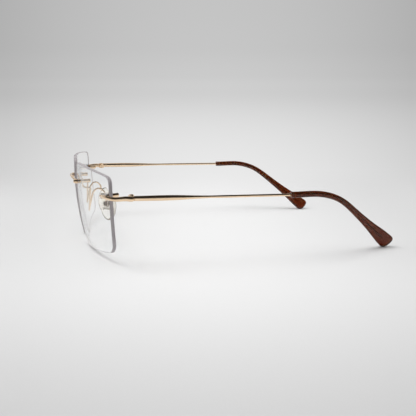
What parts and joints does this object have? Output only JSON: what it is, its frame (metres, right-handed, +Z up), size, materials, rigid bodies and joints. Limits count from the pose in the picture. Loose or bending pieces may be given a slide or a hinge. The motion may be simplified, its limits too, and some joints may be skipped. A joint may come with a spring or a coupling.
{
  "type": "rimless eyeglasses",
  "caption": "Rimless eyeglasses with drilled clear lenses, gold metal bridge and folding temples, brown acetate tip covers and clear rocking nose pads.",
  "frame": {"origin": "on the floor, below the middle of the object's bounding box, with the glasses open and standing on their lenses and tip ends", "axes": "+X to the wearer's left, +Y from the lenses towards the tips, +Z up"},
  "size_m": [0.138, 0.156, 0.0425],
  "materials": {
    "clear_lens": "polished faces, matt ground edge",
    "gold_metal": "polished rose-gold plating",
    "silver_metal": "bright nickel plating",
    "brown_acetate": "polished translucent acetate",
    "clear_silicone": "clear, soft, slightly yellowed",
    "clear_plastic": "clear moulded bushing"
  },
  "bodies": {
    "front": {"bridge": "gold_metal", "left_lens": "clear_lens", "left_endpiece": "gold_metal", "left_bridge_screw": "gold_metal", "left_bridge_bushing": "clear_plastic", "left_bridge_nut": "gold_metal", "left_endpiece_screw": "gold_metal", "left_endpiece_bushing": "clear_plastic", "left_endpiece_washer": "gold_metal", "left_endpiece_nut": "gold_metal", "left_hinge_screw": "gold_metal", "left_pad_arm": "gold_metal", "left_pad_box": "silver_metal", "left_pad_screw": "silver_metal", "right_lens": "clear_lens", "right_endpiece": "gold_metal", "right_bridge_screw": "gold_metal", "right_bridge_bushing": "clear_plastic", "right_bridge_nut": "gold_metal", "right_endpiece_screw": "gold_metal", "right_endpiece_bushing": "clear_plastic", "right_endpiece_washer": "gold_metal", "right_endpiece_nut": "gold_metal", "right_hinge_screw": "gold_metal", "right_pad_arm": "gold_metal", "right_pad_box": "silver_metal", "right_pad_screw": "silver_metal"},
    "left_temple": {"left_temple": "gold_metal", "left_tip_cover": "brown_acetate"},
    "left_nose_pad": {"left_nose_pad": "clear_silicone", "left_pad_insert": "silver_metal"},
    "right_temple": {"right_temple": "gold_metal", "right_tip_cover": "brown_acetate"},
    "right_nose_pad": {"right_nose_pad": "clear_silicone", "right_pad_insert": "silver_metal"}
  },
  "joints": [
    {"name": "left_temple_fold", "type": "hinge", "parent": "front", "child": "left_temple", "pos_m": [0.065, -0.05516, 0.03148], "axis": [0, 0, 1], "range_deg": [0, 88]},
    {"name": "right_temple_fold", "type": "hinge", "parent": "front", "child": "right_temple", "pos_m": [-0.065, -0.05516, 0.03148], "axis": [0, 0, -1], "range_deg": [0, 81.5]},
    {"name": "left_pad_rock", "type": "hinge", "parent": "front", "child": "left_nose_pad", "pos_m": [0.01227, -0.06041, 0.0206], "axis": [-0.4082, -0.9063, -0.1094], "range_deg": [-10, 10]},
    {"name": "right_pad_rock", "type": "hinge", "parent": "front", "child": "right_nose_pad", "pos_m": [-0.01227, -0.06041, 0.0206], "axis": [-0.4082, 0.9063, 0.1094], "range_deg": [-10, 10]}
  ]
}
